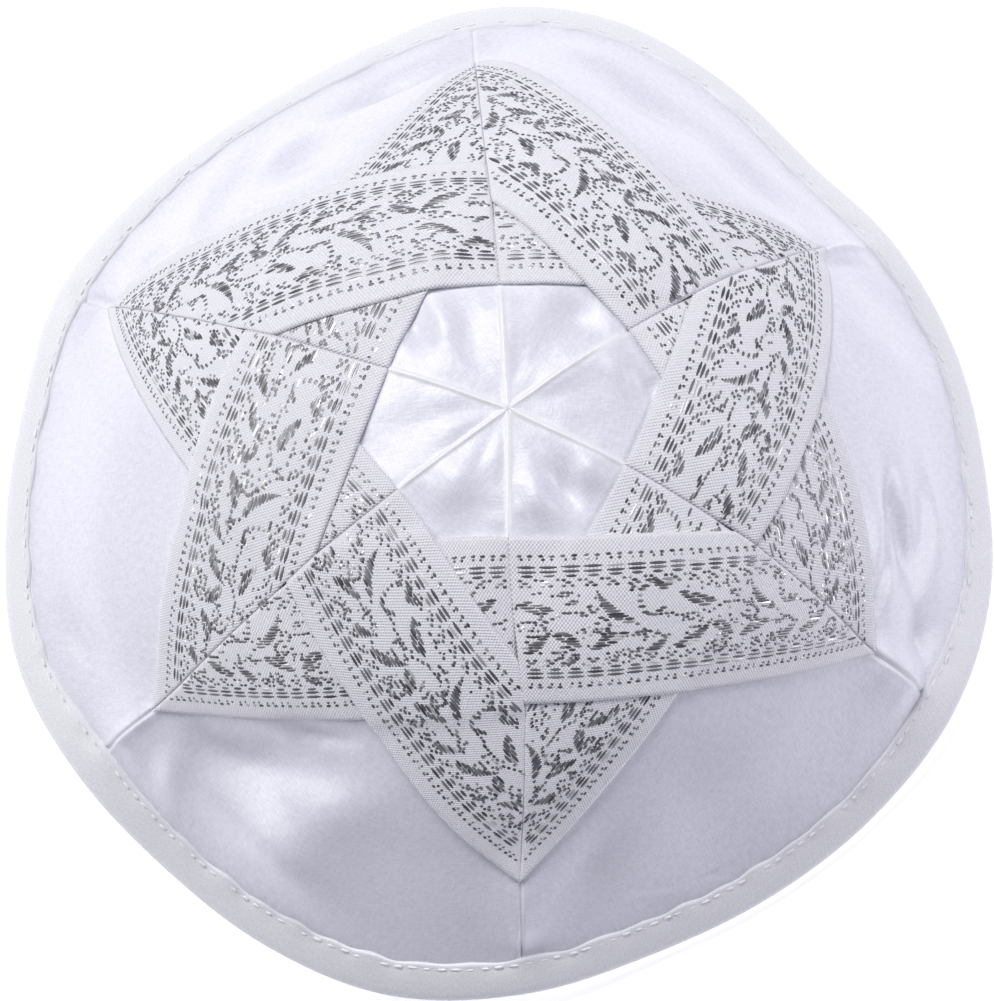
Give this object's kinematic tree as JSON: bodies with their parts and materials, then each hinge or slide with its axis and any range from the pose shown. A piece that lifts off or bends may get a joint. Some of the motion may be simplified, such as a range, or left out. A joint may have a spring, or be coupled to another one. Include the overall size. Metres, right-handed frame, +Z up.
{
  "type": "kippah skullcap",
  "caption": "White satin skullcap sewn from gores, with a woven brocade ribbon star on its crown and a folded tape binding round its rim.",
  "frame": {"origin": "bottom centre of the box round the cap, on the surface that the rim rests on", "axes": "+Z up through the crown, +Y towards the seam at the back of the picture, along the cap's long way"},
  "size_m": [0.1714, 0.184, 0.0482],
  "materials": {
    "satin": "white satin, soft sheen",
    "brocade": "white ribbed ribbon with silver metallic floats",
    "binding": "white satin tape, folded and stitched"
  },
  "bodies": {
    "root": {"gore_1": "satin", "gore_2": "satin", "gore_3": "satin", "gore_4": "satin", "gore_5": "satin", "gore_6": "satin", "star_ribbon_under_1": "brocade", "star_ribbon_under_2": "brocade", "star_ribbon_under_3": "brocade", "star_ribbon_under_4": "brocade", "star_ribbon_under_5": "brocade", "star_ribbon_under_6": "brocade", "star_ribbon_over_1": "brocade", "star_ribbon_over_2": "brocade", "star_ribbon_over_3": "brocade", "star_ribbon_over_4": "brocade", "star_ribbon_over_5": "brocade", "star_ribbon_over_6": "brocade", "rim_binding": "binding"}
  },
  "joints": []
}
